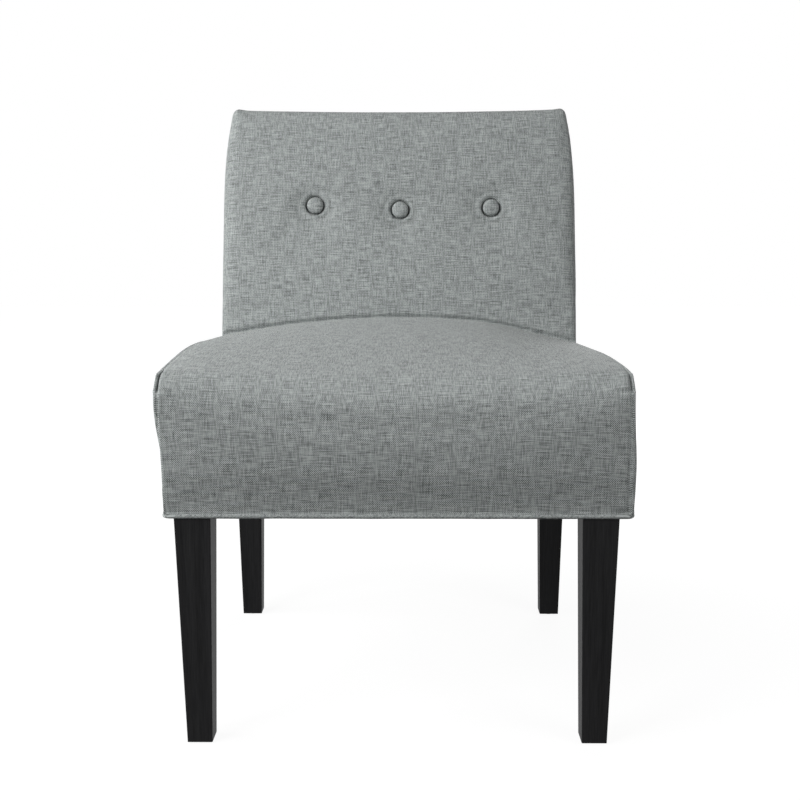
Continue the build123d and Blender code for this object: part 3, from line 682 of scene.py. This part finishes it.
# %% Welt
WELT_LEFT = -0.2795
WELT_RIGHT = 0.2835
WELT_CORNER = 0.008
welt_low, welt_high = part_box("seat_welt")
bpy.ops.object.select_all(action="DESELECT")
bpy.ops.mesh.primitive_plane_add(size=1.0)
welt = bpy.context.object
welt.name = "piped_welt"
welt_front = welt_low.y + WELT_RADIUS
welt.scale = (WELT_RIGHT - WELT_LEFT - 2 * WELT_RADIUS, welt_high.y - welt_front, 1.0)
welt.location = ((WELT_LEFT + WELT_RIGHT) / 2, (welt_front + welt_high.y) / 2, WELT_LINE)
bpy.ops.object.transform_apply()
bpy.ops.object.mode_set(mode="EDIT")
bpy.ops.mesh.delete(type="ONLY_FACE")
bpy.ops.mesh.select_mode(type="EDGE")
bpy.ops.mesh.select_all(action="DESELECT")
bpy.ops.object.mode_set(mode="OBJECT")
for edge in welt.data.edges:
    edge.select = all(welt.data.vertices[index].co.y > 0.0 for index in edge.vertices)
bpy.ops.object.mode_set(mode="EDIT")
bpy.ops.mesh.delete(type="EDGE")
bpy.ops.mesh.select_mode(type="VERT")
bpy.ops.mesh.select_all(action="DESELECT")
bpy.ops.object.mode_set(mode="OBJECT")
for vertex in welt.data.vertices:
    vertex.select = vertex.co.y < 0.0
bpy.ops.object.mode_set(mode="EDIT")
bpy.ops.mesh.bevel(offset=WELT_CORNER, segments=8, affect="VERTICES")
bpy.ops.mesh.select_mode(type="EDGE")
bpy.ops.mesh.select_all(action="DESELECT")
bpy.ops.object.mode_set(mode="OBJECT")
for edge in welt.data.edges:
    ends = [welt.data.vertices[index].co for index in edge.vertices]
    edge.select = (ends[0] - ends[1]).length > 0.1
bpy.ops.object.mode_set(mode="EDIT")
bpy.ops.mesh.subdivide(number_cuts=90)
bpy.ops.object.mode_set(mode="OBJECT")
bpy.ops.object.convert(target="CURVE")
welt.data.bevel_depth = WELT_RADIUS
welt.data.bevel_resolution = 6
welt.data.use_fill_caps = True
bpy.ops.object.convert(target="MESH")
bpy.ops.object.shade_smooth()
unsettle(welt, size=0.040, height=0.0003)


def welt_chart(points, centres, normals):
    """The strip is cut on the bias, so its threads run at 45 degrees round the cord."""
    run = np.where(np.abs(centres[:, 0]) > 0.262, points[:, 1], points[:, 0])
    girth = (points[:, 2] - WELT_LINE) * 1.4
    return np.stack((run + girth, run - girth), axis=1) / np.sqrt(2.0)


weave_map(welt, welt_chart)
finish_piece(welt, "ash_cloth", "seat_welt")

# %% [markdown]
# ## The outside back
# The outside back is one flat panel of the cover cloth, drawn tight over the rear of the frame and
# slip-stitched along its folded edges. It is a fine grid with a folded edge, a slight belly and a
# row of small puckers where the stitches pull. Its upper corners draw in with those of the back.

# %% Outside back
PANEL_LEFT = -0.2768
PANEL_RIGHT = 0.2735
PANEL_FOOT = 0.0
PANEL_TOP = 0.5165
PANEL_V = 0.0020
PANEL_CLOTH = 0.0012
DRAW_START = 0.4025
DRAW_IN = 0.0070
BELLY = 0.0016
PUCKER, PUCKER_DEPTH = 0.024, 0.0004
bpy.ops.object.select_all(action="DESELECT")
bpy.ops.mesh.primitive_grid_add(x_subdivisions=180, y_subdivisions=170, size=1.0)
panel = bpy.context.object
panel.name = "outside_back_panel"
points = places(panel)
points[:, 0] = (points[:, 0] + 0.5) * (PANEL_RIGHT - PANEL_LEFT) - PANEL_RIGHT
points[:, 1] = PANEL_FOOT + (points[:, 1] + 0.5) * (PANEL_TOP - PANEL_FOOT)
to_side = np.minimum(points[:, 0] + PANEL_RIGHT, -PANEL_LEFT - points[:, 0])
to_top = PANEL_TOP - points[:, 1]
to_edge = np.minimum(to_side, to_top)
run = np.where(to_side < to_top, points[:, 1], points[:, 0])
belly = BELLY * ramp(to_edge, 0.0, 0.120)
fold = PANEL_CLOTH * ramp(to_edge, 0.0, 0.004)
pull = PUCKER_DEPTH * np.cos(2 * pi * run / PUCKER) * np.exp(-to_edge / 0.012)
points[:, 2] = belly + fold + pull
rise = np.clip((points[:, 1] - DRAW_START) / (PANEL_TOP - DRAW_START), 0.0, 1.0)
points[:, 0] *= 1.0 - DRAW_IN * rise ** 2 / PANEL_RIGHT
move_to(panel, points)
across = Vector((-1.0, 0.0, 0.0))
turned = Matrix((across, up_lean, -out_front)).transposed().to_4x4()
panel.matrix_world = Matrix.Translation(on_back(0.0, 0.0, PANEL_V)) @ turned
only(panel)
bpy.ops.object.transform_apply()
wall = panel.modifiers.new("thickness", "SOLIDIFY")
wall.thickness = PANEL_CLOTH
wall.offset = -1.0
bpy.ops.object.modifier_apply(modifier="thickness")
bpy.ops.object.mode_set(mode="EDIT")
bpy.ops.mesh.select_all(action="SELECT")
bpy.ops.mesh.bisect(plane_co=(0.0, 0.0, underside), plane_no=(0.0, 0.0, -1.0),
                    use_fill=True, clear_outer=True)
bpy.ops.object.mode_set(mode="OBJECT")
bpy.ops.object.shade_smooth()
weave_map(panel, back_chart)
finish_piece(panel, "ash_cloth", "outside_back_cover")

# %% [markdown]
# ## The dust cover
# Under the seat a thin black cloth hides the webbing. It is stapled flat to the rails and sags a
# little in the middle.

# %% Dust cover
DUST_CLOTH = 0.0005
SAG = 0.0035
CREASE = 0.0006
dust_low, dust_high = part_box("dust_cover")
bpy.ops.object.select_all(action="DESELECT")
bpy.ops.mesh.primitive_grid_add(x_subdivisions=70, y_subdivisions=64, size=1.0)
dust = bpy.context.object
dust.name = "sagging_dust_cover"
points = places(dust)
sag = SAG * (1 - (2 * points[:, 0]) ** 2) * (1 - (2 * points[:, 1]) ** 2)
crease = np.array([CREASE * noise.noise(Vector(point) * 9.0) for point in points])
points[:, 0] *= dust_high.x - dust_low.x
points[:, 1] = (dust_low.y + dust_high.y) / 2 + points[:, 1] * (dust_high.y - dust_low.y)
inner = ramp(0.5 * (dust_high.x - dust_low.x) - np.abs(points[:, 0]), 0.040, 0.090)
points[:, 2] = dust_low.z + 0.0006 - sag * inner + crease * inner
move_to(dust, points)
wall = dust.modifiers.new("thickness", "SOLIDIFY")
wall.thickness = DUST_CLOTH
only(dust)
bpy.ops.object.modifier_apply(modifier="thickness")
bpy.ops.object.shade_smooth()
finish_piece(dust, "dust_cloth", "dust_cover")

# %% [markdown]
# ## Materials
# Colours are written as the hex values that the eye sees and turned to linear light by one
# function. One small function adds a node, sets it and links it.

# %% Material helpers
def linear(colour):
    """Linear colour of an sRGB hex value."""
    def channel(part):
        return part / 12.92 if part <= 0.04045 else ((part + 0.055) / 1.055) ** 2.4

    parts = [int(colour[index:index + 2], 16) / 255 for index in (1, 3, 5)]
    return tuple(channel(part) for part in parts) + (1.0,)


def add_node(tree, kind, inputs=None, **settings):
    """Add a node, set its properties, and fill or link its inputs."""
    made = tree.nodes.new(kind)
    for key, value in settings.items():
        setattr(made, key, value)
    for key, value in (inputs or {}).items():
        if isinstance(value, bpy.types.NodeSocket):
            tree.links.new(value, made.inputs[key])
        else:
            made.inputs[key].default_value = value
    return made


def new_material(name):
    """A new material with an empty node tree, and that tree."""
    material = bpy.data.materials.new(name)
    material.use_nodes = True
    material.node_tree.nodes.clear()
    return material, material.node_tree


def two_tone(tree, share, dark, pale, spread):
    """Colour that runs from dark to pale over a spread on each side of one half."""
    shade = add_node(tree, "ShaderNodeValToRGB", {"Fac": share})
    low, high = shade.color_ramp.elements
    low.position = 0.5 - spread
    low.color = linear(dark)
    high.position = 0.5 + spread
    high.color = linear(pale)
    return shade.outputs["Color"]


# %% [markdown]
# ### The cover cloth
# A plain-woven linen-look cloth in ash grey. Its yarns are spun from lighter and darker fibres, so
# each has streaks along its length. The streaks of the two sets of yarns are added, which gives the
# crossed hatching of linen, and the yarns rise and sink where they cross. Real yarns here are about
# 0.6 mm apart. They are drawn at 1.2 mm, because finer ones would not show in the picture.

# %% Ash cloth
MM = 0.001
YARN = 1.2 * MM
SLUB = 30.0 * MM


def woven_cloth(name, dark, pale, yarn, slub,
                coords="object", contrast=0.20, crossing=0.10, sheen=0.0):
    """Plain weave: streaks along both sets of yarns, and a rise at each crossing."""
    material, tree = new_material(name)
    if coords == "weave":
        source = add_node(tree, "ShaderNodeUVMap", uv_map="weave").outputs["UV"]
    else:
        source = add_node(tree, "ShaderNodeTexCoord").outputs["Object"]

    def yarns(shift, scale):
        stretched = add_node(tree, "ShaderNodeMapping", {
            "Vector": source, "Location": shift, "Scale": scale,
        })
        streak = add_node(tree, "ShaderNodeTexNoise", {
            "Vector": stretched.outputs[0], "Scale": 1.3, "Detail": 3.0, "Roughness": 0.62,
        })
        return streak.outputs["Fac"]

    weft = yarns((0.0, 0.0, 0.0), (1 / slub, 1 / yarn, 1 / yarn))
    warp = yarns((3.7, 1.9, 5.6), (1 / yarn, 1 / (0.6 * slub), 1 / yarn))
    streaks = add_node(tree, "ShaderNodeMix", {"Factor": 0.44, 2: weft, 3: warp})
    phase = add_node(tree, "ShaderNodeVectorMath", {
        0: source, 1: (pi / yarn, pi / yarn, pi / yarn),
    }, operation="MULTIPLY")
    waves = add_node(tree, "ShaderNodeVectorMath", {0: phase.outputs[0]}, operation="SINE")
    wave = add_node(tree, "ShaderNodeSeparateXYZ", {0: waves.outputs[0]})
    over = add_node(tree, "ShaderNodeMath", {
        0: wave.outputs["X"], 1: wave.outputs["Y"],
    }, operation="MULTIPLY")
    tone = add_node(tree, "ShaderNodeMath", {
        0: over.outputs[0], 1: crossing, 2: streaks.outputs[0],
    }, operation="MULTIPLY_ADD")
    bump = add_node(tree, "ShaderNodeBump", {
        "Strength": 0.4, "Distance": 0.25 * yarn, "Height": tone.outputs[0],
    })
    skin = add_node(tree, "ShaderNodeBsdfPrincipled", {
        "Base Color": two_tone(tree, tone.outputs[0], dark, pale, contrast),
        "Roughness": 0.92, "Specular IOR Level": 0.25,
        "Sheen Weight": sheen, "Sheen Roughness": 0.6, "Normal": bump.outputs[0],
    })
    add_node(tree, "ShaderNodeOutputMaterial", {"Surface": skin.outputs[0]})
    return material


ash_cloth = woven_cloth("ash_linen_weave", "#4a4f4e", "#c2c7c6", YARN, SLUB,
                        coords="weave", contrast=0.125, crossing=0.16, sheen=0.10)
dust_cloth = woven_cloth("black_dust_cloth", "#0e0e0f", "#232324", 1.2 * MM, 6 * MM)
deck_cloth = woven_cloth("tan_deck_cloth", "#8c7c62", "#b8a686", 1.5 * MM, 12 * MM)
web_cloth = woven_cloth("elastic_webbing_weave", "#2d2b29", "#5a5551", 2.0 * MM, 30 * MM)
twine_cloth = woven_cloth("waxed_twine", "#8d8369", "#c4b997", 0.8 * MM, 3 * MM)

# %% [markdown]
# ### Wood, steel and nylon
# The legs are hardwood under black satin lacquer: the pores still show as fine upright lines in the
# gloss. The frame timber is planed and bare. Steel and nylon parts are small, and get the faint
# unevenness of plating and moulding.

# %% Wood
GLOSS_CHANGE = 0.08


def timber(name, dark, pale, roughness, pore, length, shine, relief):
    """Wood with long pores along Z."""
    material, tree = new_material(name)
    source = add_node(tree, "ShaderNodeTexCoord").outputs["Object"]
    stretched = add_node(tree, "ShaderNodeMapping", {
        "Vector": source, "Scale": (1 / pore, 1 / pore, 1 / length),
    })
    pores = add_node(tree, "ShaderNodeTexNoise", {
        "Vector": stretched.outputs[0], "Scale": 1.0, "Detail": 4.0,
    })
    rings = add_node(tree, "ShaderNodeTexNoise", {
        "Vector": stretched.outputs[0], "Scale": 0.12, "Detail": 3.0,
    })
    grain = add_node(tree, "ShaderNodeMix", {
        "Factor": 0.5, 2: pores.outputs["Fac"], 3: rings.outputs["Fac"],
    })
    gloss = add_node(tree, "ShaderNodeMapRange", {
        "Value": grain.outputs[0],
        "To Min": roughness - GLOSS_CHANGE, "To Max": roughness + GLOSS_CHANGE,
    })
    bump = add_node(tree, "ShaderNodeBump", {
        "Strength": relief, "Distance": 0.3 * MM, "Height": pores.outputs["Fac"],
    })
    skin = add_node(tree, "ShaderNodeBsdfPrincipled", {
        "Base Color": two_tone(tree, grain.outputs[0], dark, pale, 0.15),
        "Roughness": gloss.outputs[0], "Specular IOR Level": shine, "Normal": bump.outputs[0],
    })
    add_node(tree, "ShaderNodeOutputMaterial", {"Surface": skin.outputs[0]})
    return material


black_wood = timber("black_lacquered_hardwood", "#0f0f10", "#272728", roughness=0.52,
                    pore=1.2 * MM, length=40 * MM, shine=0.10, relief=0.25)
frame_wood = timber("planed_hardwood", "#a5814f", "#c9a878", roughness=0.62,
                    pore=1.5 * MM, length=50 * MM, shine=0.4, relief=0.30)
plywood = timber("bare_plywood", "#b8935f", "#d6b88a", roughness=0.65,
                 pore=2.5 * MM, length=80 * MM, shine=0.4, relief=0.25)

# %% Steel and nylon
def small_part(name, colour, metallic, roughness, change, grit):
    """Plain part with a slightly uneven gloss."""
    material, tree = new_material(name)
    source = add_node(tree, "ShaderNodeTexCoord").outputs["Object"]
    grain = add_node(tree, "ShaderNodeTexNoise", {
        "Vector": source, "Scale": 1 / grit, "Detail": 3.0,
    })
    gloss = add_node(tree, "ShaderNodeMapRange", {
        "Value": grain.outputs["Fac"], "To Min": roughness - change, "To Max": roughness + change,
    })
    skin = add_node(tree, "ShaderNodeBsdfPrincipled", {
        "Base Color": linear(colour), "Metallic": metallic, "Roughness": gloss.outputs[0],
    })
    add_node(tree, "ShaderNodeOutputMaterial", {"Surface": skin.outputs[0]})
    return material


steel = small_part("zinc_plated_steel", "#b9bbbd",
                   metallic=1.0, roughness=0.38, change=0.08, grit=1.5 * MM)
nylon = small_part("moulded_nylon", "#202021",
                   metallic=0.0, roughness=0.55, change=0.06, grit=1.0 * MM)

# %% Put the materials on
finishes = {
    "ash_cloth": ash_cloth, "dust_cloth": dust_cloth, "deck_cloth": deck_cloth,
    "webbing": web_cloth, "twine": twine_cloth, "black_wood": black_wood,
    "frame_wood": frame_wood, "plywood": plywood, "steel": steel, "nylon": nylon,
}
node_slot = {row["node"]: row["material_slot"] for row in frame["record"]["subparts"]}
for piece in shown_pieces():
    slot = piece.get("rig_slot") or node_slot[piece.name]
    piece.data.materials.clear()
    piece.data.materials.append(finishes[slot])

# %% [markdown]
# ## Floor, light and background
# The picture has a plain white ground. The floor is matt and grey for the lamps, so little light
# comes back from it under the seat. For the camera it glows as well, almost white round the chair,
# where a faint shadow stays, and fully white further off, so no horizon shows.

# %% Floor
def seen_share(tree):
    """1 for the camera's own rays and for those it sees in a gloss, 0 for all others."""
    path = add_node(tree, "ShaderNodeLightPath")
    seen = add_node(tree, "ShaderNodeMath", {
        0: path.outputs["Is Camera Ray"], 1: path.outputs["Is Glossy Ray"],
    }, operation="MAXIMUM")
    return seen.outputs[0]


bpy.ops.object.select_all(action="DESELECT")
bpy.ops.mesh.primitive_plane_add(size=14.0, location=(0.0, 0.0, 0.0))
floor = bpy.context.object
floor.name = "studio_floor"
ground, tree = new_material("white_sweep_floor")
spot = add_node(tree, "ShaderNodeTexCoord")
reach = add_node(tree, "ShaderNodeVectorMath", {0: spot.outputs["Object"]}, operation="LENGTH")
white = add_node(tree, "ShaderNodeMapRange", {
    "Value": reach.outputs["Value"],
    "From Min": 0.35, "From Max": 1.1, "To Min": 0.93, "To Max": 1.0,
})
lift = add_node(tree, "ShaderNodeMath", {
    0: seen_share(tree), 1: white.outputs[0],
}, operation="MULTIPLY")
glow = add_node(tree, "ShaderNodeEmission", {"Strength": lift.outputs[0]})
matt = add_node(tree, "ShaderNodeBsdfDiffuse", {"Color": (0.10, 0.10, 0.10, 1.0)})
both = add_node(tree, "ShaderNodeAddShader", {0: matt.outputs[0], 1: glow.outputs[0]})
add_node(tree, "ShaderNodeOutputMaterial", {"Surface": both.outputs[0]})
floor.data.materials.append(ground)

# %% [markdown]
# The light in the photograph comes from the left. A large soft lamp stands there in front of the
# chair at head height, a second one beside it, and a weak one fills from the right. A lamp behind
# the chair shows its outside back in other views. The room itself adds only a little light.

# %% Light and background
world = bpy.data.worlds.new("studio_white")
world.use_nodes = True
scene.world = world
tree = world.node_tree
tree.nodes.clear()
level = add_node(tree, "ShaderNodeMapRange", {
    "Value": seen_share(tree), "To Min": 0.025, "To Max": 1.0,
})
sky = add_node(tree, "ShaderNodeBackground", {
    "Color": (1.0, 1.0, 1.0, 1.0), "Strength": level.outputs[0],
})
add_node(tree, "ShaderNodeOutputWorld", {"Surface": sky.outputs[0]})


LAMP_SIZE = 1.0
AIM = Vector((0.0, 0.0, 0.5))


def soft_lamp(name, place, power):
    """A square soft lamp at a place, aimed at the middle of the chair."""
    bpy.ops.object.select_all(action="DESELECT")
    bpy.ops.object.light_add(type="AREA", location=place)
    lamp = bpy.context.object
    lamp.name = name
    lamp.data.size = LAMP_SIZE
    lamp.data.energy = power
    lamp.rotation_euler = (AIM - Vector(place)).to_track_quat("-Z", "Y").to_euler()


soft_lamp("key_lamp", (-1.4, -1.3, 1.4), 31.5)
soft_lamp("side_lamp", (-1.9, -0.2, 1.3), 26.0)
soft_lamp("fill_lamp", (1.5, -1.2, 1.4), 14.5)
soft_lamp("rear_lamp", (0.6, 2.0, 0.7), 22.0)
scene.view_settings.view_transform = "Standard"
